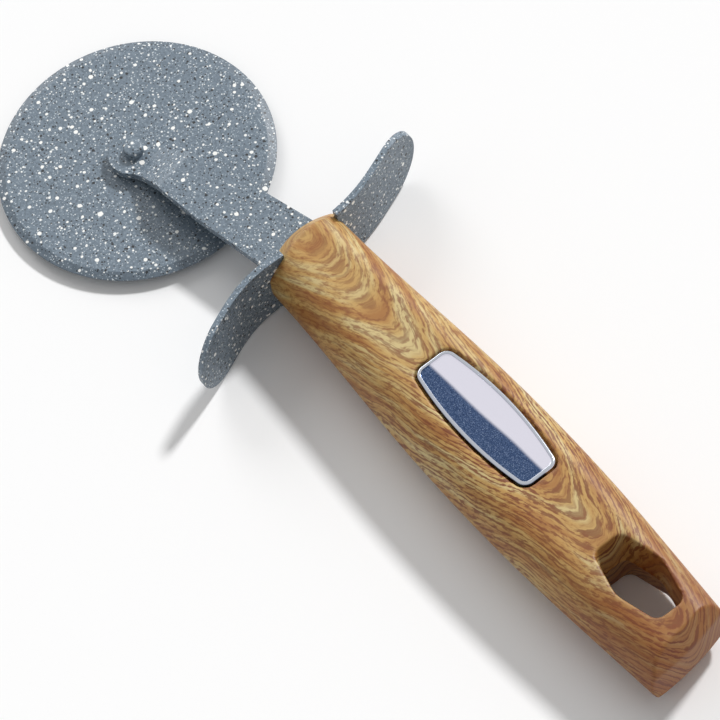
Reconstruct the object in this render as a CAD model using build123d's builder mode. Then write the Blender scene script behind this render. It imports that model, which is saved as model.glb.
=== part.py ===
"""A pizza cutter that lies on its back: the wheel's axis stands at the origin, the handle runs along +X."""

import os
from math import cos, radians, sin, tan

from build123d import *

os.makedirs("parts", exist_ok=True)

# Driving dimensions, in millimetres. Heights are above the plane that the tool lies on.

# Cutting wheel, a steel disc ground to an edge from both faces, with a bush pressed into its hub
wheel_radius = 32.0
wheel_thickness = 1.4
edge_bevel = 2.0
edge_thickness = 0.2
bush_radius = 4.0
bush_proud = 0.1
wheel_play = 0.1

# Axle rivet, peened over the arm's tip, and the washer between wheel and arm
axle_radius = 1.8
foot_radius = 4.2
foot_height = 1.0
foot_chamfer = 0.3
head_radius = 2.3
head_height = 2.0
head_round = 0.4
washer_radius = 4.6
washer_thickness = 0.6

# Clearances, and how far cutting shapes run past what they cut
running_clearance = 0.05
seat_clearance = 0.05
overrun = 5.0

# Arm, a steel strip that steps down to the wheel at its tip
arm_angle = 12.0
bend_distance = 51.5
arm_thickness = 2.0
tip_radius = 6.1
step_start = 4.8
step_length = 8.5
step_bend_radius = 2.5
neck_distance = 7.0
neck_width = 9.0
shoulder_distance = 15.0
shoulder_width = 11.8
flank_distance = 26.0
flank_width = 13.8
root_width = 15.8
side_curve_radius = 6.0

# Tang, the arm's tail inside the handle, with holes that lock it in the moulding
tang_length = 62.0
tang_width = 12.0
lock_hole_radius = 2.5
lock_hole_spacing = 22.0

# Finger guard, a steel strip on edge that sweeps forward on the finger side and back on the palm side
guard_span = 72.6
guard_height = 17.4
guard_thickness = 1.6
guard_setback = 5.0
guard_sweep = 8.75
guard_waist_height = 11.0
guard_waist_length = 15.0
guard_waist_offset = 2.0

# Handle, one moulding round the tang and the guard's waist
nose_setback = 4.4
handle_length = 140.8
handle_thickness = 18.0
nose_width = 21.2
throat_distance = 14.0
throat_width = 21.6
swell_distance = 80.0
swell_width = 30.2
butt_width = 21.2
side_curve = 500.0
finger_edge_radius = 6.5
palm_edge_radius = 8.6

# Its ends, each cut to the rim of an upright disc whose rim is bevelled above and below a land
nose_disc_radius = 17.0
nose_disc_offset = 2.8
nose_land = 6.0
nose_bevel_angle = 38.0
butt_disc_radius = 63.0
butt_disc_offset = -8.8
butt_land = 8.0
butt_bevel_angle = 28.0
land_round = 2.5

# Badge, a plain plate with a raised lip, on a glue pad in a shallow recess
badge_distance = 69.3
badge_offset = 1.9
badge_length = 39.0
badge_width = 13.2
badge_end_width = 9.2
badge_corner = 2.6
badge_gap = 0.5
badge_thickness = 1.5
badge_edge_round = 0.3
lip_width = 0.9
field_depth = 0.35
recess_depth = 1.7
pad_thickness = 0.3
pad_inset = 1.5

# Hanging hole, narrowest half way through, where the two halves of the mould met
hole_distance = 121.6
hole_offset = 1.9
hole_length = 19.5
hole_width = 10.7
hole_end_width = 6.2
hole_corner = 2.2
hole_draft = 7.0

# The guard seen from above, as shares of its half span and of its sweep, from palm side to finger side
guard_bow_shares = (
    (-1.05, 1.1),
    (-0.72, 0.48),
    (-0.42, 0.04),
    (-0.15, 0),
    (0.15, 0),
    (0.42, -0.12),
    (0.72, -0.56),
    (1.05, -1.08),
)

# Levels and places that follow from the sizes above
bush_bottom = foot_height + wheel_play
wheel_bottom = bush_bottom + bush_proud
wheel_middle = wheel_bottom + wheel_thickness / 2
wheel_top = wheel_bottom + wheel_thickness
bush_top = wheel_top + bush_proud
washer_bottom = bush_top + wheel_play
tip_bottom = washer_bottom + washer_thickness
tip_top = tip_bottom + arm_thickness
handle_middle = handle_thickness / 2
arm_reach = bend_distance + tang_length
bend_x = bend_distance * cos(radians(arm_angle))
handle_y = bend_distance * sin(radians(arm_angle))
nose_x = bend_x - nose_setback
guard_x = nose_x + guard_setback
butt_x = nose_x + handle_length
slot_height = arm_thickness + 2 * seat_clearance
recess_floor = handle_thickness - recess_depth
badge_bottom = recess_floor + pad_thickness

along_arm = Vector(cos(radians(arm_angle)), sin(radians(arm_angle)), 0)
across_arm = Vector(-sin(radians(arm_angle)), cos(radians(arm_angle)), 0)
arm_plane = Plane(origin=(0, 0, 0), x_dir=along_arm, z_dir=(0, 0, 1))
arm_side_plane = Plane(origin=(0, 0, 0), x_dir=along_arm, z_dir=-across_arm)
slot_plane = Plane(origin=(0, 0, handle_middle - slot_height / 2), x_dir=along_arm, z_dir=(0, 0, 1))
guard_plan_plane = Plane(origin=(guard_x, handle_y, 0), x_dir=(0, 1, 0), z_dir=(0, 0, -1))
guard_face_plane = Plane(origin=(0, handle_y, handle_middle), x_dir=(0, 1, 0), z_dir=(1, 0, 0))


# Cutting wheel
with BuildPart() as cutting_wheel:
    with BuildSketch(Plane.XZ):
        with BuildLine():
            Polyline(
                (bush_radius + seat_clearance, wheel_bottom),
                (wheel_radius - edge_bevel, wheel_bottom),
                (wheel_radius, wheel_middle - edge_thickness / 2),
                (wheel_radius, wheel_middle + edge_thickness / 2),
                (wheel_radius - edge_bevel, wheel_top),
                (bush_radius + seat_clearance, wheel_top),
                close=True,
            )
        make_face()
    revolve(axis=Axis.Z)

# Bush that turns on the rivet with the wheel
with BuildPart() as wheel_bush:
    with BuildSketch(Plane.XY.offset(bush_bottom)):
        Circle(bush_radius)
        Circle(axle_radius + running_clearance, mode=Mode.SUBTRACT)
    extrude(amount=bush_top - bush_bottom)

# Washer that keeps the wheel off the arm
with BuildPart() as spacer_washer:
    with BuildSketch(Plane.XY.offset(washer_bottom)):
        Circle(washer_radius)
        Circle(axle_radius + seat_clearance, mode=Mode.SUBTRACT)
    extrude(amount=washer_thickness)

# Rivet: flat foot behind the wheel, shank, and the peened head that shows
with BuildPart() as axle_rivet:
    with BuildSketch() as foot:
        Circle(foot_radius)
    extrude(amount=foot_height)
    chamfer(axle_rivet.edges().group_by(Axis.Z)[-1], length=foot_chamfer)
    with BuildSketch(Plane.XY.offset(foot_height)) as shank:
        Circle(axle_radius)
    extrude(amount=tip_top - foot_height)
    with BuildSketch(Plane.XY.offset(tip_top)) as head:
        Circle(head_radius)
    extrude(amount=head_height)
    fillet(axle_rivet.edges().group_by(Axis.Z)[-1], radius=head_round)


def arm_outline(allowance):
    """The arm and its tang from above, grown by an allowance, with the tang's lock holes."""
    tang_turn = Location((bend_distance, 0, 0), (0, 0, -arm_angle))
    with BuildSketch() as outline:
        with BuildLine():
            side = FilletPolyline(
                (0, neck_width / 2),
                (neck_distance, neck_width / 2),
                (shoulder_distance, shoulder_width / 2),
                (flank_distance, flank_width / 2),
                (bend_distance, root_width / 2),
                radius=side_curve_radius,
            )
            mirror(side, about=Plane.XZ)
            Line((0, neck_width / 2), (0, -neck_width / 2))
            Line((bend_distance, root_width / 2), (bend_distance, -root_width / 2))
        make_face()
        Circle(tip_radius)
        with Locations(tang_turn):
            Rectangle(tang_length, tang_width, align=(Align.MIN, Align.CENTER))
        if allowance:
            offset(amount=allowance)
        with Locations(tang_turn):
            with Locations((lock_hole_spacing, 0), (2 * lock_hole_spacing, 0)):
                Circle(lock_hole_radius - allowance, mode=Mode.SUBTRACT)
    return outline.sketch


# Arm: the stepped side profile cut to the outline from above
with BuildPart() as wheel_arm:
    with BuildSketch(arm_side_plane) as side_profile:
        with BuildLine():
            FilletPolyline(
                (-tip_radius - overrun, tip_top - arm_thickness / 2),
                (step_start, tip_top - arm_thickness / 2),
                (step_start + step_length, handle_middle),
                (arm_reach + overrun, handle_middle),
                radius=step_bend_radius,
            )
        trace(line_width=arm_thickness)
    extrude(amount=arm_reach, both=True)
    with BuildSketch(arm_plane) as plan:
        add(arm_outline(0))
    extrude(amount=handle_thickness, mode=Mode.INTERSECT)
    with Locations((0, 0, tip_top)):
        Hole(axle_radius + seat_clearance)


def guard_blank(allowance):
    """The guard strip with its leaf outline and waist, before the arm's slot, grown by an allowance."""
    with BuildPart() as blank:
        with BuildSketch(guard_plan_plane):
            with BuildLine():
                bow = [(guard_span / 2 * span, guard_sweep * sweep) for span, sweep in guard_bow_shares]
                front = Spline(*[(across, back - allowance) for across, back in bow])
                rear = Spline(*[(across, back + guard_thickness + allowance) for across, back in bow])
                Line(front @ 0, rear @ 0)
                Line(front @ 1, rear @ 1)
            make_face()
        extrude(amount=-handle_thickness)
        with BuildSketch(guard_face_plane) as leaf:
            SlotOverall(guard_span, guard_height)
            with Locations((guard_waist_offset, guard_height / 2), (guard_waist_offset, -guard_height / 2)):
                Rectangle(guard_waist_length, guard_height - guard_waist_height, mode=Mode.SUBTRACT)
            if allowance:
                offset(amount=allowance)
        extrude(amount=guard_x + guard_span, mode=Mode.INTERSECT)
    return blank.part


# Finger guard
with BuildPart() as finger_guard:
    add(guard_blank(0))
    with BuildSketch(slot_plane):
        add(arm_outline(seat_clearance))
    extrude(amount=slot_height, mode=Mode.SUBTRACT)


def end_form(disc_x, disc_offset, disc_radius, land, bevel_angle, block_align):
    """A disc with a bevelled rim and a block from its centre; the handle's end is cut to the disc."""
    bevel_height = handle_middle - land / 2
    bevel_width = (bevel_height + overrun) * tan(radians(bevel_angle))
    top = handle_thickness + overrun
    centre = Vector(disc_x, handle_y + disc_offset, 0)
    with BuildPart() as form:
        with BuildSketch(Plane(origin=centre, x_dir=(1, 0, 0), z_dir=(0, -1, 0))):
            with BuildLine():
                rim = FilletPolyline(
                    (disc_radius - bevel_width, -overrun),
                    (disc_radius, bevel_height),
                    (disc_radius, handle_thickness - bevel_height),
                    (disc_radius - bevel_width, top),
                    radius=land_round,
                )
                Polyline(rim @ 1, (0, top), (0, -overrun), rim @ 0)
            make_face()
        revolve(axis=Axis(centre, (0, 0, 1)))
        with Locations(centre - Vector(0, 0, overrun)):
            block_aligns = (block_align, Align.CENTER, Align.MIN)
            Box(2 * handle_length, 2 * swell_width, top + overrun, align=block_aligns)
    return form.part


def badge_outline(allowance):
    """The badge's outline with bowed long sides, grown by an allowance."""
    half_length = badge_length / 2
    with BuildSketch() as outline:
        with BuildLine():
            for side in (1, -1):
                ThreePointArc(
                    (-half_length, side * badge_end_width / 2),
                    (0, side * badge_width / 2),
                    (half_length, side * badge_end_width / 2),
                )
                Line((side * half_length, badge_end_width / 2), (side * half_length, -badge_end_width / 2))
        make_face()
        fillet(outline.vertices(), radius=badge_corner)
        if allowance:
            offset(amount=allowance)
    return outline.sketch


def hole_outline():
    """The hanging hole's outline at its narrowest level."""
    with BuildSketch() as outline:
        Polygon(
            (-hole_length / 2, hole_end_width / 2),
            (-hole_length / 2, -hole_end_width / 2),
            (0, -hole_width / 2),
            (hole_length / 2, -hole_end_width / 2),
            (hole_length / 2, hole_end_width / 2),
            (0, hole_width / 2),
        )
        fillet(outline.vertices(), radius=hole_corner)
    return outline.sketch


badge_x = nose_x + badge_distance
badge_y = handle_y + badge_offset
recess_plane = Plane(origin=(badge_x, badge_y, recess_floor))
badge_plane = Plane(origin=(badge_x, badge_y, badge_bottom))
hole_centre = Vector(nose_x + hole_distance, handle_y + hole_offset, handle_middle)

# Handle: its plan swells to the palm, its long edges are rounder there, and each end has its own form
with BuildPart() as handle_body:
    with BuildSketch(Plane(origin=(nose_x, handle_y, 0))):
        with BuildLine():
            side = FilletPolyline(
                (-overrun, nose_width / 2),
                (throat_distance, throat_width / 2),
                (swell_distance, swell_width / 2),
                (handle_length + overrun, butt_width / 2),
                radius=side_curve,
            )
            mirror(side, about=Plane.XZ)
            Line((-overrun, nose_width / 2), (-overrun, -nose_width / 2))
            Line((handle_length + overrun, butt_width / 2), (handle_length + overrun, -butt_width / 2))
        make_face()
    extrude(amount=handle_thickness)
    level_edges = handle_body.edges().filter_by(Plane.XY)
    long_edges = level_edges.filter_by(lambda edge: edge.bounding_box().size.X > overrun)
    finger_edges = long_edges.filter_by(lambda edge: edge.center().Y > handle_y)
    palm_edges = long_edges.filter_by(lambda edge: edge.center().Y < handle_y)
    fillet(finger_edges, radius=finger_edge_radius)
    fillet(palm_edges, radius=palm_edge_radius)
    nose_form = end_form(
        nose_x + nose_disc_radius, nose_disc_offset, nose_disc_radius, nose_land, nose_bevel_angle, Align.MIN
    )
    butt_form = end_form(
        butt_x - butt_disc_radius, butt_disc_offset, butt_disc_radius, butt_land, butt_bevel_angle, Align.MAX
    )
    add(nose_form, mode=Mode.INTERSECT)
    add(butt_form, mode=Mode.INTERSECT)
    with BuildSketch(recess_plane):
        add(badge_outline(badge_gap))
    extrude(amount=recess_depth + overrun, mode=Mode.SUBTRACT)
    for side in (1, -1):
        with BuildSketch(Plane(origin=hole_centre, x_dir=(1, 0, 0), z_dir=(0, 0, side))):
            add(hole_outline())
        extrude(amount=handle_middle + overrun, taper=-hole_draft, mode=Mode.SUBTRACT)
    with BuildSketch(slot_plane):
        add(arm_outline(seat_clearance))
    extrude(amount=slot_height, mode=Mode.SUBTRACT)
    add(guard_blank(seat_clearance), mode=Mode.SUBTRACT)

# Badge plate: a raised lip round a plain field
with BuildPart() as badge_plate:
    with BuildSketch(badge_plane):
        add(badge_outline(0))
    extrude(amount=badge_thickness)
    chamfer(badge_plate.edges().group_by(Axis.Z)[-1], length=badge_edge_round)
    with BuildSketch(badge_plane.offset(badge_thickness - field_depth)):
        add(badge_outline(-lip_width))
    extrude(amount=badge_thickness, mode=Mode.SUBTRACT)

# Glue pad under the badge
with BuildPart() as badge_pad:
    with BuildSketch(recess_plane):
        add(badge_outline(-pad_inset))
    extrude(amount=pad_thickness)

cutting_wheel.part.label = "cutting_wheel"
wheel_bush.part.label = "wheel_bush"
spacer_washer.part.label = "spacer_washer"
axle_rivet.part.label = "axle_rivet"
wheel_arm.part.label = "wheel_arm"
finger_guard.part.label = "finger_guard"
handle_body.part.label = "handle_body"
badge_plate.part.label = "badge_plate"
badge_pad.part.label = "badge_pad"

export_step(cutting_wheel.part, "parts/cutting_wheel.step")
export_step(wheel_bush.part, "parts/wheel_bush.step")
export_step(spacer_washer.part, "parts/spacer_washer.step")
export_step(axle_rivet.part, "parts/axle_rivet.step")
export_step(wheel_arm.part, "parts/wheel_arm.step")
export_step(finger_guard.part, "parts/finger_guard.step")
export_step(handle_body.part, "parts/handle_body.step")
export_step(badge_plate.part, "parts/badge_plate.step")
export_step(badge_pad.part, "parts/badge_pad.step")
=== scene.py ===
from math import cos, pi, radians, sin, tan

import bpy
from mathutils import Matrix, Vector


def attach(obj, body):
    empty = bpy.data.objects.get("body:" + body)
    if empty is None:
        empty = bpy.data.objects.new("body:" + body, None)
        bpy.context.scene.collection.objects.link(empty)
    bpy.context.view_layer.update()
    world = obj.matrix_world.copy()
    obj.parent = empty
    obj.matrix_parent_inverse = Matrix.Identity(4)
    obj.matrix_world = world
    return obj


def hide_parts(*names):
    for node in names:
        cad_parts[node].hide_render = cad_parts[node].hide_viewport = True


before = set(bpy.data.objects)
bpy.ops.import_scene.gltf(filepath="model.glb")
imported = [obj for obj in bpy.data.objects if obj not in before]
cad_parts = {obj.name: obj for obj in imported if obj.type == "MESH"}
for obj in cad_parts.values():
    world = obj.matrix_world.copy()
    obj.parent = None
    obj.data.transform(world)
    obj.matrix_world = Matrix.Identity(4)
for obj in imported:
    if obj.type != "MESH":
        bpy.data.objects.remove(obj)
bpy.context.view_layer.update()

# A pizza cutter that lies on its back. Lengths are in millimetres and turned to metres by MM.
MM = 0.001

# Sizes repeated from the part's source
WHEEL_RADIUS = 32.0
WHEEL_BOTTOM = 1.2
WHEEL_TOP = 2.6
EDGE_BEVEL = 2.0
EDGE_LAND = 0.2
HUB_RADIUS = 4.05
FOOT_RADIUS = 4.2
FOOT_HEIGHT = 1.0
FOOT_CHAMFER = 0.3
SHANK_RADIUS = 1.8
HEAD_TOP = 7.4
ARM_ANGLE = 12.0
BEND_DISTANCE = 51.5
TIP_TOP = 5.4
HANDLE_THICKNESS = 18.0
HANDLE_LENGTH = 140.8
FINGER_EDGE_RADIUS = 6.5
PALM_EDGE_RADIUS = 8.6
SIDE_CURVE = 500.0
NOSE_LEAD = 4.4
FACE_MIDDLE = 1.9
BADGE_DISTANCE = 69.3
HOLE_DISTANCE = 121.6
BEND_X = BEND_DISTANCE * cos(radians(ARM_ANGLE))
HANDLE_Y = BEND_DISTANCE * sin(radians(ARM_ANGLE))
NOSE_X = BEND_X - NOSE_LEAD
BUTT_X = NOSE_X + HANDLE_LENGTH
BADGE_CENTRE = (NOSE_X + BADGE_DISTANCE, HANDLE_Y + FACE_MIDDLE)
BADGE_HALF_LENGTH = 19.5
BADGE_HALF_WIDTH = 6.6
BADGE_END_HALF_WIDTH = 4.6
BADGE_CORNER = 2.6
BADGE_FIELD_Z = 17.75
BADGE_TOP_Z = 18.1
RECESS_GAP = 0.5
RECESS_DEPTH = 1.7
HOLE_CENTRE = (NOSE_X + HOLE_DISTANCE, HANDLE_Y + FACE_MIDDLE)
HOLE_HALF_LENGTH = 9.75
HOLE_HALF_WIDTH = 5.35
HOLE_END_HALF_WIDTH = 3.1
HOLE_CORNER = 1.5
HOLE_DRAFT = radians(7)

# The handle's ends: the radius of their curve from above, the height of the upright land, the bevels' angle
# and how far the curve's centre lies towards the finger side
NOSE_RADIUS, NOSE_LAND, NOSE_BEVEL, NOSE_OFFSET = 17.0, 6.0, 38.0, 2.8
BUTT_RADIUS, BUTT_LAND, BUTT_BEVEL, BUTT_OFFSET = 63.0, 8.0, 28.0, -8.8

# The handle's corners from above: distance behind its nose, half width
PLAN_CORNERS = ((-5.0, 10.6), (14.0, 10.8), (80.0, 15.1), (HANDLE_LENGTH + 5.0, 10.6))

# Limits for the modelling: the radius where a profile meets its axis, how near two places count as one, and
# how far a cutting tool reaches past what it cuts
ON_AXIS = 0.001
NEAR = 0.01
OVERRUN = 1.0


def linear(hex_colour):
    """An sRGB hex colour as linear RGBA."""
    channels = [int(hex_colour[i:i + 2], 16) / 255 for i in (1, 3, 5)]
    return [c / 12.92 if c <= 0.04045 else ((c + 0.055) / 1.055) ** 2.4 for c in channels] + [1.0]


def add_node(tree, kind, settings=None, values=None, links=None, stops=()):
    """Adds a node with its settings, socket values, links and, on a colour ramp, its stops."""
    made = tree.nodes.new(kind)
    for key, value in (settings or {}).items():
        setattr(made, key, value)
    for key, value in (values or {}).items():
        made.inputs[key].default_value = value
    for key, source in (links or {}).items():
        tree.links.new(source, made.inputs[key])
    for number, (place, colour) in enumerate(stops):
        spots = made.color_ramp.elements
        spot = spots[number] if number < 2 else spots.new(place)
        spot.position = place
        spot.color = colour
    return made


def new_material(name):
    """An empty node material, its shader and output joined: the material, its tree and the shader."""
    material = bpy.data.materials.new(name)
    material.use_nodes = True
    tree = material.node_tree
    tree.nodes.clear()
    shader = add_node(tree, "ShaderNodeBsdfPrincipled")
    add_node(tree, "ShaderNodeOutputMaterial", links={"Surface": shader.outputs[0]})
    return material, tree, shader


# Modelling helpers

def select_only(piece):
    bpy.ops.object.select_all(action="DESELECT")
    piece.select_set(True)
    bpy.context.view_layer.objects.active = piece


def edit(piece):
    select_only(piece)
    bpy.ops.object.mode_set(mode="EDIT")
    bpy.ops.mesh.select_mode(type="VERT")
    bpy.ops.mesh.select_all(action="SELECT")


def leave_edit():
    bpy.ops.object.mode_set(mode="OBJECT")


def drawn(name, points):
    """A run of edges through points in millimetres, drawn by extruding one vertex; stays in edit mode."""
    bpy.ops.object.select_all(action="DESELECT")
    bpy.ops.mesh.primitive_plane_add(size=MM, location=(0, 0, 0))
    piece = bpy.context.object
    piece.name = name
    piece.data.name = name
    edit(piece)
    bpy.ops.mesh.merge(type="CENTER")
    start = Vector(points[0])
    bpy.ops.transform.translate(value=start * MM)
    for point in points[1:]:
        step = Vector(point) - start
        bpy.ops.mesh.extrude_vertices_move(TRANSFORM_OT_translate={"value": step * MM})
        start = Vector(point)
    return piece


def turned(name, profile, steps, centre=(0, 0)):
    """A closed profile of (radius, height) points spun round an upright axis at centre."""
    cx, cy = centre
    closed = list(profile) + [profile[0]]
    piece = drawn(name, [(cx + radius, cy, height) for radius, height in closed])
    bpy.ops.mesh.select_all(action="SELECT")
    bpy.ops.mesh.remove_doubles(threshold=0.001 * MM)
    bpy.ops.mesh.spin(steps=steps, angle=2 * pi, center=(cx * MM, cy * MM, 0), axis=(0, 0, 1))
    bpy.ops.mesh.select_all(action="SELECT")
    bpy.ops.mesh.remove_doubles(threshold=0.001 * MM)
    bpy.ops.mesh.normals_make_consistent(inside=False)
    leave_edit()
    return piece


def extruded(name, outline, bottom, top):
    """An outline of (x, y) points raised from bottom to top."""
    piece = drawn(name, [(x, y, bottom) for x, y in outline])
    bpy.ops.mesh.select_all(action="SELECT")
    bpy.ops.mesh.edge_face_add()
    bpy.ops.mesh.extrude_region_move(TRANSFORM_OT_translate={"value": (0, 0, (top - bottom) * MM)})
    bpy.ops.mesh.select_all(action="SELECT")
    bpy.ops.mesh.normals_make_consistent(inside=False)
    leave_edit()
    return piece


def edit_edges(piece, chosen):
    """Enters edit mode with only the edges selected whose two ends pass a test."""
    edit(piece)
    bpy.ops.mesh.select_mode(type="EDGE")
    bpy.ops.mesh.select_all(action="DESELECT")
    leave_edit()
    for edge in piece.data.edges:
        edge.select = chosen(*[piece.data.vertices[index].co / MM for index in edge.vertices])
    bpy.ops.object.mode_set(mode="EDIT")


def apply_modifier(piece, kind, settings):
    select_only(piece)
    modifier = piece.modifiers.new(kind.title(), kind)
    for key, value in settings.items():
        setattr(modifier, key, value)
    bpy.ops.object.modifier_apply(modifier=modifier.name)


def cut_to(piece, tool, operation):
    """Keeps what piece and tool share, or takes tool away, and deletes tool."""
    apply_modifier(piece, "BOOLEAN", {"object": tool, "operation": operation, "solver": "EXACT"})
    bpy.data.objects.remove(tool)


def smooth_shade(piece, angle):
    select_only(piece)
    bpy.ops.object.shade_smooth_by_angle(angle=radians(angle))


def soften_edges(piece, width, angle, segments=3):
    """Rounds the edges sharper than angle, as deburring and coating do, and keeps faces flat."""
    apply_modifier(piece, "BEVEL", {
        "width": width * MM, "segments": segments, "limit_method": "ANGLE", "angle_limit": radians(angle),
    })
    smooth_shade(piece, angle)
    apply_modifier(piece, "WEIGHTED_NORMAL", {"keep_sharp": True, "weight": 100})


def copied(node_name, name):
    """A merged copy of a CAD node, with its flat faces made whole."""
    piece = bpy.data.objects.new(name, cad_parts[node_name].data.copy())
    bpy.context.scene.collection.objects.link(piece)
    edit(piece)
    bpy.ops.mesh.remove_doubles(threshold=0.002 * MM)
    bpy.ops.mesh.dissolve_limited(angle_limit=radians(0.5))
    leave_edit()
    return piece


def finish_piece(piece, node_name, body, material):
    """Puts a finished piece in its node's place, on its body."""
    piece.data.materials.clear()
    piece.data.materials.append(material)
    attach(piece, body)
    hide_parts(node_name)


# Materials

def per_mm(count):
    """The scale of a pattern that has this many cells to the millimetre."""
    return count / MM


def pushed(tree, place, noise, reach):
    """A place that a noise pushes about, by up to reach millimetres either way along X, Y and Z."""
    push = add_node(
        tree, "ShaderNodeVectorMath", {"operation": "MULTIPLY_ADD"},
        {1: [2 * part * MM for part in reach], 2: [-part * MM for part in reach]},
        {0: noise.outputs["Color"]},
    )
    moved = add_node(
        tree, "ShaderNodeVectorMath", {"operation": "ADD"}, links={0: place, 1: push.outputs[0]}
    )
    return moved.outputs[0]


# Layers of flecks: cells to the millimetre, greatest radius in mm, colour
FLECK_LAYERS = (
    (1.65, 0.19, "#B3BEC6"),
    (0.98, 0.25, "#DDE2E3"),
    (1.15, 0.25, "#1F252B"),
    (0.56, 0.38, "#F2F3F0"),
    (0.6, 0.38, "#14181D"),
    (0.35, 0.58, "#FAFAF6"),
)
# Each layer is moved on from the one before, so that their cells don't line up.
LAYER_STEP = (13.0, 7.0, 3.0)


def stone_effect_coating(name, rim_shade_start=None):
    """Non-stick coating, sprayed on steel and baked: slate grey, with pale and black flecks.

    Given a rim start in millimetres off the wheel's axis, the colour beyond it is darkened half way to a
    deeper grey: painted shade on the bevelled rim.
    """
    material, tree, shader = new_material(name)
    place = add_node(tree, "ShaderNodeTexCoord").outputs["Object"]
    # The flecks are drops, never quite round: a fine noise bends their outlines.
    wobble = add_node(
        tree, "ShaderNodeTexNoise", values={"Scale": per_mm(1.4), "Detail": 2.0}, links={"Vector": place}
    )
    bent = pushed(tree, place, wobble, (0.17, 0.17, 0.17))
    # The sprayed ground is mottled at about two thirds of a millimetre.
    mottle = add_node(
        tree, "ShaderNodeTexNoise", values={"Scale": per_mm(1.5), "Detail": 3.0, "Roughness": 0.65},
        links={"Vector": place},
    )
    ground = add_node(
        tree, "ShaderNodeValToRGB", links={"Fac": mottle.outputs[0]},
        stops=((0.36, linear("#5B6974")), (0.5, linear("#6A7885")), (0.64, linear("#7A8894"))),
    )
    colour = ground.outputs["Color"]
    # Painted shade: past the rim start the ground is mixed half way to a darker grey.
    if rim_shade_start:
        flat_place = add_node(
            tree, "ShaderNodeVectorMath", {"operation": "MULTIPLY"}, {1: (1.0, 1.0, 0.0)}, {0: place}
        )
        off_axis = add_node(
            tree, "ShaderNodeVectorMath", {"operation": "LENGTH"}, links={0: flat_place.outputs[0]}
        )
        rim_shade_mask = add_node(
            tree, "ShaderNodeMapRange",
            values={"From Min": rim_shade_start * MM, "From Max": (rim_shade_start + 0.1) * MM, "To Max": 0.5},
            links={"Value": off_axis.outputs["Value"]},
        )
        painted_rim_shade = add_node(
            tree, "ShaderNodeMix", {"data_type": "RGBA"}, {7: linear("#515D68")},
            {0: rim_shade_mask.outputs[0], 6: colour},
        )
        colour = painted_rim_shade.outputs[2]
    for number, (cell_count, radius, fleck) in enumerate(FLECK_LAYERS):
        moved = add_node(
            tree, "ShaderNodeVectorMath", {"operation": "ADD"},
            {1: [part * number * MM for part in LAYER_STEP]}, {0: bent},
        )
        cells = add_node(
            tree, "ShaderNodeTexVoronoi", values={"Scale": per_mm(cell_count)},
            links={"Vector": moved.outputs[0]},
        )
        # Each cell's drop has its own size, and some are too small to see.
        own_size = add_node(
            tree, "ShaderNodeMapRange", values={"To Min": 0.85, "To Max": 2.1},
            links={"Value": cells.outputs["Color"]},
        )
        spread = add_node(
            tree, "ShaderNodeMath", {"operation": "MULTIPLY"},
            links={0: cells.outputs["Distance"], 1: own_size.outputs[0]},
        )
        edge = radius * cell_count
        mask = add_node(
            tree, "ShaderNodeMapRange", {"interpolation_type": "SMOOTHSTEP"},
            {"From Min": edge * 1.15, "From Max": edge * 0.85}, {"Value": spread.outputs[0]},
        )
        mixed = add_node(
            tree, "ShaderNodeMix", {"data_type": "RGBA"}, {7: linear(fleck)}, {0: mask.outputs[0], 6: colour}
        )
        colour = mixed.outputs[2]
    tree.links.new(colour, shader.inputs["Base Color"])
    # A baked coating has a slight orange peel that breaks its sheen.
    peel = add_node(
        tree, "ShaderNodeTexNoise", values={"Scale": per_mm(0.9), "Detail": 2.0}, links={"Vector": place}
    )
    bump = add_node(
        tree, "ShaderNodeBump", values={"Strength": 0.18, "Distance": 0.1 * MM},
        links={"Height": peel.outputs[0]},
    )
    tree.links.new(bump.outputs[0], shader.inputs["Normal"])
    rough = add_node(
        tree, "ShaderNodeMapRange", values={"To Min": 0.34, "To Max": 0.5},
        links={"Value": mottle.outputs[0]},
    )
    tree.links.new(rough.outputs[0], shader.inputs["Roughness"])
    shader.inputs["IOR"].default_value = 1.5
    return material


# The wood print's arches: the line they are centred on, how blunt their tips are, how much of X and of Z
# counts in them, the distance from one line to the next and how far the bands push a line
GRAIN_MIDDLE_Y = 11.5
ARCH_BLUNTNESS = 4.5
ARCH_SHARE_OF_X = 0.25
ARCH_SHARE_OF_Z = -0.4
LINE_SPACING = 1.1
LINE_DRIFT = 3.5


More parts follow.
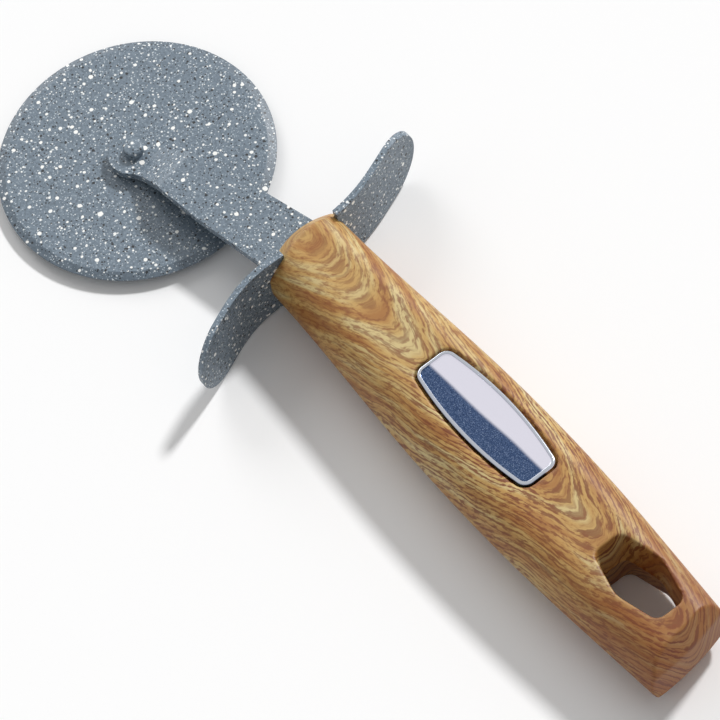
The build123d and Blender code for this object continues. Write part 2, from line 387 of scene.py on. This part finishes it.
def wood_film_on_abs():
    """ABS moulding under a wood-print film: ochre ground, brown lines in long arches, short pores."""
    material, tree, shader = new_material("wood_print_film_on_abs")
    place = add_node(tree, "ShaderNodeTexCoord").outputs["Object"]
    # The print bends over tens of millimetres and wavers over a few. W picks one draw of the noise.
    broad = add_node(
        tree, "ShaderNodeTexNoise", {"noise_dimensions": "4D"},
        {"W": 3.0, "Scale": per_mm(0.026), "Detail": 1.5, "Roughness": 0.5}, {"Vector": place},
    )
    drawn_out = add_node(
        tree, "ShaderNodeMapping", values={"Scale": (0.22, 1.0, 1.0)}, links={"Vector": place}
    )
    waver = add_node(
        tree, "ShaderNodeTexNoise", values={"Scale": per_mm(0.33), "Detail": 3.0, "Roughness": 0.6},
        links={"Vector": drawn_out.outputs[0]},
    )
    bowed = pushed(tree, place, broad, (11.0, 5.0, 4.0))
    bent = pushed(tree, bowed, waver, (1.5, 0.35, 0.35))
    # Lines are arches that point to the butt: distance from the middle line plus a share of X.
    centred = add_node(
        tree, "ShaderNodeVectorMath", {"operation": "SUBTRACT"},
        {1: (0.0, GRAIN_MIDDLE_Y * MM, 0.0)}, {0: bent},
    )
    rounded = add_node(
        tree, "ShaderNodeVectorMath", {"operation": "MULTIPLY_ADD"},
        {1: (0.0, 1.0, 0.0), 2: (0.0, 0.0, ARCH_BLUNTNESS * MM)}, {0: centred.outputs[0]},
    )
    across = add_node(tree, "ShaderNodeVectorMath", {"operation": "LENGTH"}, links={0: rounded.outputs[0]})
    parts = add_node(tree, "ShaderNodeSeparateXYZ", links={0: bent})
    down_sides = add_node(
        tree, "ShaderNodeMath", {"operation": "MULTIPLY_ADD"}, {1: ARCH_SHARE_OF_Z},
        {0: parts.outputs[2], 2: across.outputs["Value"]},
    )
    arch = add_node(
        tree, "ShaderNodeMath", {"operation": "MULTIPLY_ADD"}, {1: ARCH_SHARE_OF_X},
        {0: parts.outputs[0], 2: down_sides.outputs[0]},
    )
    # A noise that hardly changes along the handle draws lines that follow the arches.
    along = add_node(tree, "ShaderNodeMath", {"operation": "MULTIPLY"}, {1: 0.09}, {0: parts.outputs[0]})
    grain_place = add_node(
        tree, "ShaderNodeCombineXYZ", links={0: arch.outputs[0], 1: along.outputs[0]}
    )
    # Pores: ticks about 0.5 mm wide and 2 mm long that follow the same arches
    pore_length = add_node(
        tree, "ShaderNodeMath", {"operation": "MULTIPLY"}, {1: 0.22}, {0: parts.outputs[0]}
    )
    pore_place = add_node(
        tree, "ShaderNodeCombineXYZ", links={0: arch.outputs[0], 1: pore_length.outputs[0]}
    )
    pores = add_node(
        tree, "ShaderNodeTexNoise", values={"Scale": per_mm(2.1), "Detail": 2.5, "Roughness": 0.65},
        links={"Vector": pore_place.outputs[0]},
    )
    # Bands about 2 mm wide give the ground. Lines come every LINE_SPACING, and two finer noises break them.
    bands = add_node(
        tree, "ShaderNodeTexNoise", values={"Scale": per_mm(0.43), "Detail": 2.0, "Roughness": 0.55},
        links={"Vector": grain_place.outputs[0]},
    )
    streaks = add_node(
        tree, "ShaderNodeTexNoise", values={"Scale": per_mm(2.6), "Detail": 2.0, "Roughness": 0.6},
        links={"Vector": grain_place.outputs[0]},
    )
    drift = add_node(
        tree, "ShaderNodeMath", {"operation": "MULTIPLY_ADD"}, {1: LINE_DRIFT * MM},
        {0: bands.outputs[0], 2: arch.outputs[0]},
    )
    rings = add_node(
        tree, "ShaderNodeMath", {"operation": "MULTIPLY"}, {1: 1 / (LINE_SPACING * MM)},
        {0: drift.outputs[0]},
    )
    ring_saw = add_node(tree, "ShaderNodeMath", {"operation": "PINGPONG"}, {1: 0.5}, {0: rings.outputs[0]})
    ringed = add_node(
        tree, "ShaderNodeMath", {"operation": "MULTIPLY_ADD"}, {1: 0.6},
        {0: ring_saw.outputs[0], 2: streaks.outputs[0]},
    )
    lines = add_node(
        tree, "ShaderNodeMath", {"operation": "MULTIPLY_ADD"}, {1: 0.7},
        {0: pores.outputs[0], 2: ringed.outputs[0]},
    )
    # The print is plainer near the nose, full of lines from the badge on, and redder at the butt. Towards
    # the bottom the colour is painted redder and darker: painted shade on the lower sides.
    lengthwise = add_node(
        tree, "ShaderNodeMapRange", values={"From Min": NOSE_X * MM, "From Max": BUTT_X * MM},
        links={"Value": parts.outputs[0]},
    )
    fullness = add_node(
        tree, "ShaderNodeMapRange", {"interpolation_type": "SMOOTHSTEP"},
        {"From Min": 0.05, "From Max": 0.4, "To Min": 0.4}, {"Value": lengthwise.outputs[0]},
    )
    redness = add_node(
        tree, "ShaderNodeMapRange", {"interpolation_type": "SMOOTHSTEP"},
        {"From Min": 0.68, "From Max": 1.0, "To Max": 0.72}, {"Value": lengthwise.outputs[0]},
    )
    # Painted shade: from 13 mm high down to 2 mm the colour is mixed more and more towards dark red-brown.
    painted_low_shade = add_node(
        tree, "ShaderNodeMapRange", values={"From Min": 13.0 * MM, "From Max": 2.0 * MM, "To Max": 0.35},
        links={"Value": parts.outputs[2]},
    )
    red_print_and_low_shade = add_node(
        tree, "ShaderNodeMath", {"operation": "MAXIMUM"},
        links={0: redness.outputs[0], 1: painted_low_shade.outputs[0]},
    )
    ground = add_node(
        tree, "ShaderNodeValToRGB", links={"Fac": bands.outputs[0]},
        stops=(
            (0.36, linear("#A06D35")), (0.48, linear("#B98F50")),
            (0.56, linear("#C09E60")), (0.66, linear("#CBB680")),
        ),
    )
    reddened_and_shaded = add_node(
        tree, "ShaderNodeMix", {"data_type": "RGBA"}, {7: linear("#824310")},
        {0: red_print_and_low_shade.outputs[0], 6: ground.outputs["Color"]},
    )
    # Lines gather in bundles, where the print is darker, and fade out between them.
    patch = add_node(
        tree, "ShaderNodeTexNoise", values={"Scale": per_mm(0.075), "Detail": 2.0},
        links={"Vector": drawn_out.outputs[0]},
    )
    bundle = add_node(
        tree, "ShaderNodeMapRange", values={"From Min": 0.4, "From Max": 0.6, "To Min": 0.6},
        links={"Value": patch.outputs[0]},
    )
    line_mask = add_node(
        tree, "ShaderNodeMapRange", {"interpolation_type": "SMOOTHSTEP"},
        {"From Min": 0.95, "From Max": 1.14}, {"Value": lines.outputs[0]},
    )
    bundled = add_node(
        tree, "ShaderNodeMath", {"operation": "MULTIPLY"},
        links={0: line_mask.outputs[0], 1: bundle.outputs[0]},
    )
    line_amount = add_node(
        tree, "ShaderNodeMath", {"operation": "MULTIPLY"},
        links={0: bundled.outputs[0], 1: fullness.outputs[0]},
    )
    with_lines = add_node(
        tree, "ShaderNodeMix", {"data_type": "RGBA"}, {7: linear("#652A08")},
        {0: line_amount.outputs[0], 6: reddened_and_shaded.outputs[2]},
    )
    pore_mask = add_node(
        tree, "ShaderNodeMapRange", values={"From Min": 0.47, "From Max": 0.66, "To Max": 0.55},
        links={"Value": pores.outputs[0]},
    )
    with_pores = add_node(
        tree, "ShaderNodeMix", {"data_type": "RGBA"}, {7: linear("#7A3A10")},
        {0: pore_mask.outputs[0], 6: with_lines.outputs[2]},
    )
    tree.links.new(with_pores.outputs[2], shader.inputs["Base Color"])
    bump = add_node(
        tree, "ShaderNodeBump", values={"Strength": 0.12, "Distance": 0.1 * MM},
        links={"Height": pores.outputs[0]},
    )
    tree.links.new(bump.outputs[0], shader.inputs["Normal"])
    shader.inputs["Roughness"].default_value = 0.48
    shader.inputs["IOR"].default_value = 1.46
    return material


def polished_chrome():
    """Chrome-plated badge, polished, with a painted reflection in its colour: a pale sky side and a deep
    blue side meet along its length.
    """
    material, tree, shader = new_material("polished_chrome_painted_reflection")
    place = add_node(tree, "ShaderNodeTexCoord").outputs["Object"]
    # Painted reflection: a pale side and a mottled blue side split along the badge's length.
    centred = add_node(
        tree, "ShaderNodeMapping", values={"Location": (-BADGE_CENTRE[0] * MM, -BADGE_CENTRE[1] * MM, 0)},
        links={"Vector": place},
    )
    parts = add_node(tree, "ShaderNodeSeparateXYZ", links={0: centred.outputs[0]})
    lean = add_node(
        tree, "ShaderNodeMath", {"operation": "MULTIPLY_ADD"}, {1: -0.05},
        {0: parts.outputs[0], 2: parts.outputs[1]},
    )
    waves = add_node(
        tree, "ShaderNodeTexNoise", values={"Scale": per_mm(0.045), "Detail": 1.0}, links={"Vector": place}
    )
    wavy = add_node(
        tree, "ShaderNodeMath", {"operation": "MULTIPLY_ADD"}, {1: 1.2 * MM},
        {0: waves.outputs[0], 2: lean.outputs[0]},
    )
    side = add_node(
        tree, "ShaderNodeMapRange", {"interpolation_type": "SMOOTHSTEP"},
        {"From Min": 0.2 * MM, "From Max": 1.2 * MM}, {"Value": wavy.outputs[0]},
    )
    reflection_mottle = add_node(
        tree, "ShaderNodeTexNoise", values={"Scale": per_mm(5.2), "Detail": 2.0}, links={"Vector": place}
    )
    blue_reflection = add_node(
        tree, "ShaderNodeValToRGB", links={"Fac": reflection_mottle.outputs[0]},
        stops=((0.38, linear("#314260")), (0.56, linear("#42567A")), (0.72, linear("#8A98B0"))),
    )
    field_reflection = add_node(
        tree, "ShaderNodeMix", {"data_type": "RGBA"}, {7: linear("#D9D7E2")},
        {0: side.outputs[0], 6: blue_reflection.outputs["Color"]},
    )
    # The raised lip is plain bright metal.
    lip = add_node(
        tree, "ShaderNodeMapRange",
        values={"From Min": (BADGE_FIELD_Z + 0.1) * MM, "From Max": (BADGE_TOP_Z - 0.1) * MM},
        links={"Value": parts.outputs[2]},
    )
    tone = add_node(
        tree, "ShaderNodeMix", {"data_type": "RGBA"}, {7: linear("#B2B6BE")},
        {0: lip.outputs[0], 6: field_reflection.outputs[2]},
    )
    tree.links.new(tone.outputs[2], shader.inputs["Base Color"])
    shader.inputs["Metallic"].default_value = 1.0
    shader.inputs["Roughness"].default_value = 0.22
    return material


def rolled_steel():
    """Stamped steel washer: bare, with fine rolling marks."""
    material, tree, shader = new_material("rolled_steel_washer")
    place = add_node(tree, "ShaderNodeTexCoord").outputs["Object"]
    stretched = add_node(
        tree, "ShaderNodeMapping", values={"Scale": (0.05, 1.0, 1.0)}, links={"Vector": place}
    )
    marks = add_node(
        tree, "ShaderNodeTexNoise", values={"Scale": per_mm(3.0), "Detail": 2.0},
        links={"Vector": stretched.outputs[0]},
    )
    tone = add_node(
        tree, "ShaderNodeValToRGB", links={"Fac": marks.outputs[0]},
        stops=((0.3, linear("#9A9DA2")), (0.7, linear("#C6C9CD"))),
    )
    tree.links.new(tone.outputs["Color"], shader.inputs["Base Color"])
    shader.inputs["Metallic"].default_value = 1.0
    shader.inputs["Roughness"].default_value = 0.35
    return material


def moulded_nylon():
    """Nylon bush: dark, matt, slightly grainy from its mould."""
    material, tree, shader = new_material("moulded_nylon")
    place = add_node(tree, "ShaderNodeTexCoord").outputs["Object"]
    grit = add_node(
        tree, "ShaderNodeTexNoise", values={"Scale": per_mm(2.5), "Detail": 2.0}, links={"Vector": place}
    )
    tone = add_node(
        tree, "ShaderNodeValToRGB", links={"Fac": grit.outputs[0]},
        stops=((0.3, linear("#26282B")), (0.7, linear("#3A3D41"))),
    )
    tree.links.new(tone.outputs["Color"], shader.inputs["Base Color"])
    shader.inputs["Roughness"].default_value = 0.6
    return material


def foam_tape():
    """Acrylic foam tape under the badge: dark and dull, with fine pores."""
    material, tree, shader = new_material("acrylic_foam_tape")
    place = add_node(tree, "ShaderNodeTexCoord").outputs["Object"]
    pores = add_node(
        tree, "ShaderNodeTexVoronoi", values={"Scale": per_mm(3.5)}, links={"Vector": place}
    )
    tone = add_node(
        tree, "ShaderNodeValToRGB", links={"Fac": pores.outputs["Distance"]},
        stops=((0.1, linear("#1B1410")), (0.6, linear("#33261C"))),
    )
    tree.links.new(tone.outputs["Color"], shader.inputs["Base Color"])
    shader.inputs["Roughness"].default_value = 0.85
    return material


coating = stone_effect_coating("stone_effect_nonstick_coating")
wheel_coating = stone_effect_coating("stone_effect_coating_painted_rim_shade", WHEEL_RADIUS - EDGE_BEVEL)
wood = wood_film_on_abs()
chrome = polished_chrome()

# Cutting wheel: a disc whose rim is ground from both faces
wheel = turned("wheel_disc", (
    (HUB_RADIUS, WHEEL_BOTTOM),
    (WHEEL_RADIUS - EDGE_BEVEL, WHEEL_BOTTOM),
    (WHEEL_RADIUS, (WHEEL_BOTTOM + WHEEL_TOP - EDGE_LAND) / 2),
    (WHEEL_RADIUS, (WHEEL_BOTTOM + WHEEL_TOP + EDGE_LAND) / 2),
    (WHEEL_RADIUS - EDGE_BEVEL, WHEEL_TOP),
    (HUB_RADIUS, WHEEL_TOP),
), steps=256)
soften_edges(wheel, width=0.12, angle=12, segments=2)
finish_piece(wheel, "cutting_wheel", "wheel", wheel_coating)

# Rivet: foot, shank and the head that shows, its rim rounded by the coating
HEAD_RIM = ((2.3, TIP_TOP), (2.3, 6.85), (2.22, 7.12), (2.0, 7.3), (1.7, HEAD_TOP))
rivet = turned("rivet_turned", (
    (ON_AXIS, 0.0), (FOOT_RADIUS - FOOT_CHAMFER, 0.0), (FOOT_RADIUS, FOOT_CHAMFER),
    (FOOT_RADIUS, FOOT_HEIGHT), (SHANK_RADIUS, FOOT_HEIGHT), (SHANK_RADIUS, TIP_TOP),
    *HEAD_RIM, (ON_AXIS, HEAD_TOP),
), steps=64)
smooth_shade(rivet, angle=40)
finish_piece(rivet, "axle_rivet", "frame", coating)

# Arm and guard: the CAD's own sheet steel, its cut edges rounded by the coating
arm = copied("wheel_arm", "arm_strip")
soften_edges(arm, width=0.3, angle=35)
finish_piece(arm, "wheel_arm", "frame", coating)

guard = copied("finger_guard", "guard_strip")
soften_edges(guard, width=0.25, angle=40)
finish_piece(guard, "finger_guard", "frame", coating)

# Handle: its plan raised to its thickness, its long edges rounded, and its ends cut to bevelled discs
PLAN_START = -4.0
PLAN_STEP = 4.0
CORE_HALF_WIDTH = 10.0


def half_width(distance):
    """Half the handle's width at a distance behind its nose: straight runs joined by long arcs."""
    for (x0, w0), (x1, w1), (x2, w2) in zip(PLAN_CORNERS, PLAN_CORNERS[1:], PLAN_CORNERS[2:]):
        slope_in = (w1 - w0) / (x1 - x0)
        turn = (w2 - w1) / (x2 - x1) - slope_in
        reach = SIDE_CURVE * abs(turn) / 2
        into_arc = distance - x1 + reach
        if distance < x1 - reach:
            return w1 + slope_in * (distance - x1)
        if into_arc < 2 * reach:
            return w1 + slope_in * (distance - x1) + turn * into_arc ** 2 / (4 * reach)
    # Past the last corner's arc, the last run goes on.
    return w2 + (slope_in + turn) * (distance - x2)


def is_long_edge(a, b, side):
    """Whether an edge from a to b runs along the top or bottom of the finger side (1) or palm side (-1)."""
    level = abs(a.z - b.z) < NEAR and (a.z < NEAR or a.z > HANDLE_THICKNESS - NEAR)
    outermost = min((a.y - HANDLE_Y) * side, (b.y - HANDLE_Y) * side) > CORE_HALF_WIDTH
    return level and outermost and abs(a.x - b.x) > PLAN_STEP / 4


plan_count = int((HANDLE_LENGTH - 2 * PLAN_START) / PLAN_STEP) + 1
plan_distances = [PLAN_START + PLAN_STEP * step for step in range(plan_count)]
finger_side = [(NOSE_X + distance, HANDLE_Y + half_width(distance)) for distance in plan_distances]
palm_side = [(x, 2 * HANDLE_Y - y) for x, y in reversed(finger_side)]
handle = extruded("handle_moulding", finger_side + palm_side, 0, HANDLE_THICKNESS)
for side, radius in ((1, FINGER_EDGE_RADIUS), (-1, PALM_EDGE_RADIUS)):
    edit_edges(handle, lambda a, b: is_long_edge(a, b, side))
    bpy.ops.mesh.bevel(offset=radius * MM, segments=12, affect="EDGES", clamp_overlap=False)
    leave_edit()


def end_disc(name, radius, land, bevel_angle, centre, block_side):
    """A disc with a bevelled rim, drawn out along the handle on one side of its centre and widened there."""
    rise = (HANDLE_THICKNESS - land) / 2
    run = (rise + OVERRUN) * tan(radians(bevel_angle))
    top = HANDLE_THICKNESS + OVERRUN
    tool = turned(name, (
        (ON_AXIS, -OVERRUN), (radius - run, -OVERRUN), (radius, rise), (radius, HANDLE_THICKNESS - rise),
        (radius - run, top), (ON_AXIS, top),
    ), steps=160, centre=centre)
    drawn_by = block_side * 2 * HANDLE_LENGTH
    widening = 1.4
    for vertex in tool.data.vertices:
        beyond = vertex.co.x / MM - centre[0]
        if beyond * block_side > NEAR:
            vertex.co.x += drawn_by * MM
            vertex.co.y = (centre[1] + (vertex.co.y / MM - centre[1]) * widening) * MM
    return tool


nose_centre = (NOSE_X + NOSE_RADIUS, HANDLE_Y + NOSE_OFFSET)
butt_centre = (BUTT_X - BUTT_RADIUS, HANDLE_Y + BUTT_OFFSET)
cut_to(handle, end_disc("nose_tool", NOSE_RADIUS, NOSE_LAND, NOSE_BEVEL, nose_centre, 1), "INTERSECT")
cut_to(handle, end_disc("butt_tool", BUTT_RADIUS, BUTT_LAND, BUTT_BEVEL, butt_centre, -1), "INTERSECT")

# Hanging hole: a long hexagon, narrowest half way through
hole_corners = (
    (-HOLE_HALF_LENGTH, HOLE_END_HALF_WIDTH), (-HOLE_HALF_LENGTH, -HOLE_END_HALF_WIDTH),
    (0, -HOLE_HALF_WIDTH),
    (HOLE_HALF_LENGTH, -HOLE_END_HALF_WIDTH), (HOLE_HALF_LENGTH, HOLE_END_HALF_WIDTH),
    (0, HOLE_HALF_WIDTH),
)
hole_x, hole_y = HOLE_CENTRE
hole_tool = drawn("hole_tool", [(hole_x + x, hole_y + y, HANDLE_THICKNESS / 2) for x, y in hole_corners])
bpy.ops.mesh.select_all(action="SELECT")
bpy.ops.mesh.edge_face_add()
bpy.ops.mesh.bevel(offset=HOLE_CORNER * MM, segments=5, affect="VERTICES")
bpy.ops.mesh.select_all(action="SELECT")
rise = HANDLE_THICKNESS / 2 + 2 * OVERRUN
growth = rise * tan(HOLE_DRAFT)
bpy.ops.mesh.extrude_region_move(TRANSFORM_OT_translate={"value": (0, 0, rise * MM)})
bpy.ops.transform.resize(
    value=(1 + growth / HOLE_HALF_LENGTH, 1 + growth / HOLE_HALF_WIDTH, 1),
    center_override=Vector((hole_x, hole_y, HANDLE_THICKNESS / 2 + rise)) * MM,
)
leave_edit()
lower_tool = bpy.data.objects.new("hole_tool_lower", hole_tool.data.copy())
bpy.context.scene.collection.objects.link(lower_tool)
for vertex in lower_tool.data.vertices:
    vertex.co.z = HANDLE_THICKNESS * MM - vertex.co.z
for tool in (hole_tool, lower_tool):
    edit(tool)
    bpy.ops.mesh.normals_make_consistent(inside=False)
    leave_edit()
    cut_to(handle, tool, "DIFFERENCE")


def badge_outline(growth):
    """The badge's outline with bowed long sides and rounded corners, grown all round."""
    half_length = BADGE_HALF_LENGTH + growth
    half_middle = BADGE_HALF_WIDTH + growth
    sag = BADGE_HALF_WIDTH - BADGE_END_HALF_WIDTH
    radius = (half_length ** 2 + sag ** 2) / (2 * sag)
    side_steps = 24
    upper = []
    for step in range(-side_steps, side_steps + 1):
        x = sin(step / side_steps * pi / 2) * half_length
        y = half_middle - radius + (radius ** 2 - x ** 2) ** 0.5
        inset = max(abs(x) - (half_length - BADGE_CORNER), 0)
        drop = BADGE_CORNER - max(BADGE_CORNER ** 2 - inset ** 2, 0) ** 0.5
        upper.append((x, y - drop))
    whole = upper + [(x, -y) for x, y in reversed(upper)]
    return [(BADGE_CENTRE[0] + x, BADGE_CENTRE[1] + y) for x, y in whole]


recess_floor, recess_top = HANDLE_THICKNESS - RECESS_DEPTH, HANDLE_THICKNESS + 3 * OVERRUN
recess_tool = extruded("recess_tool", badge_outline(RECESS_GAP), recess_floor, recess_top)
cut_to(handle, recess_tool, "DIFFERENCE")

# One skin of even faces, whose edges are then rounded as a mould's are
FACE_SIZE = 0.38
apply_modifier(handle, "REMESH", {"mode": "VOXEL", "voxel_size": FACE_SIZE * MM, "adaptivity": 0.0})
apply_modifier(handle, "SMOOTH", {"factor": 0.5, "iterations": 7})
select_only(handle)
bpy.ops.object.shade_smooth()
finish_piece(handle, "handle_body", "frame", wood)

# Badge: the CAD's plate with its lip, polished over its edges
badge = copied("badge_plate", "badge_polished")
soften_edges(badge, width=0.14, angle=25, segments=4)
finish_piece(badge, "badge_plate", "frame", chrome)

# Hidden pieces keep the CAD's shapes
for node_name, material in (
    ("wheel_bush", moulded_nylon()),
    ("spacer_washer", rolled_steel()),
    ("badge_pad", foam_tape()),
):
    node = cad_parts[node_name]
    node.data.materials.clear()
    node.data.materials.append(material)

# Floor: white card, just below the rivet's foot so that the two faces don't share a plane
FLOOR_Z = -0.3
bpy.ops.object.select_all(action="DESELECT")
bpy.ops.mesh.primitive_plane_add(size=6, location=(0, 0, FLOOR_Z * MM))
floor = bpy.context.object
floor.name = "floor_card"
floor_material, floor_tree, floor_shader = new_material("white_card")
floor_shader.inputs["Base Color"].default_value = linear("#FAFAFA")
floor_shader.inputs["Roughness"].default_value = 0.9
floor.data.materials.append(floor_material)

# Camera: far off behind a long lens, at the photograph's angle. The photograph is stretched upwards, so no
# camera meets it everywhere. This one shows the same sides, with the pieces near their places.
AZIMUTH, ELEVATION, ROLL = radians(66), radians(58), radians(-16.0)
TARGET = Vector((80.35, 3.53, 9.0)) * MM
VIEW_WIDTH = 157.0
LENS = 300.0
SENSOR = 36.0

towards = Vector((sin(AZIMUTH) * cos(ELEVATION), -cos(AZIMUTH) * cos(ELEVATION), sin(ELEVATION)))
level_right = Vector((0, 0, 1)).cross(towards).normalized()
level_up = towards.cross(level_right)
right = level_right * cos(ROLL) + level_up * sin(ROLL)
up = level_up * cos(ROLL) - level_right * sin(ROLL)
camera = bpy.data.objects.new("camera", bpy.data.cameras.new("camera"))
bpy.context.scene.collection.objects.link(camera)
camera.data.lens = LENS
camera.data.sensor_width = SENSOR
camera.data.clip_start = 0.01
camera.data.clip_end = 20
turn = Matrix((right, up, towards)).transposed().to_4x4()
camera.matrix_world = Matrix.Translation(TARGET + towards * VIEW_WIDTH * MM * LENS / SENSOR) @ turn
bpy.context.scene.camera = camera


def add_sun(name, azimuth, elevation, energy, softness):
    """A sun that shines from an azimuth, counted from +Y towards -X, and an elevation, in degrees."""
    turned_by, raised_by = radians(azimuth), radians(elevation)
    source = Vector((
        -sin(turned_by) * cos(raised_by), cos(turned_by) * cos(raised_by), sin(raised_by)
    ))
    sun = bpy.data.objects.new(name, bpy.data.lights.new(name, "SUN"))
    bpy.context.scene.collection.objects.link(sun)
    sun.data.energy = energy
    sun.data.angle = radians(softness)
    sun.rotation_mode = "QUATERNION"
    sun.rotation_quaternion = source.to_track_quat("Z", "Y")


# A soft, rather low key from the finger side, and a weaker, softer light from beyond the wheel
add_sun("key", azimuth=16, elevation=40, energy=2.5, softness=7)
add_sun("second", azimuth=80, elevation=30, energy=0.8, softness=30)

# A white surround: the camera and glossy surfaces see it at nearly full strength, and it lights at less
LIGHTING_STRENGTH = 0.38
SEEN_STRENGTH = 0.95
world = bpy.data.worlds.new("surround")
bpy.context.scene.world = world
world.use_nodes = True
world_tree = world.node_tree
world_tree.nodes.clear()
rays = add_node(world_tree, "ShaderNodeLightPath")
seen = add_node(
    world_tree, "ShaderNodeMath", {"operation": "MAXIMUM"},
    links={0: rays.outputs["Is Camera Ray"], 1: rays.outputs["Is Glossy Ray"]},
)
lit, shown = [
    add_node(world_tree, "ShaderNodeBackground", values={"Color": linear("#FFFFFF"), "Strength": strength})
    for strength in (LIGHTING_STRENGTH, SEEN_STRENGTH)
]
mixed = add_node(
    world_tree, "ShaderNodeMixShader", links={0: seen.outputs[0], 1: lit.outputs[0], 2: shown.outputs[0]}
)
add_node(world_tree, "ShaderNodeOutputWorld", links={"Surface": mixed.outputs[0]})

bpy.context.scene.view_settings.view_transform = "Standard"
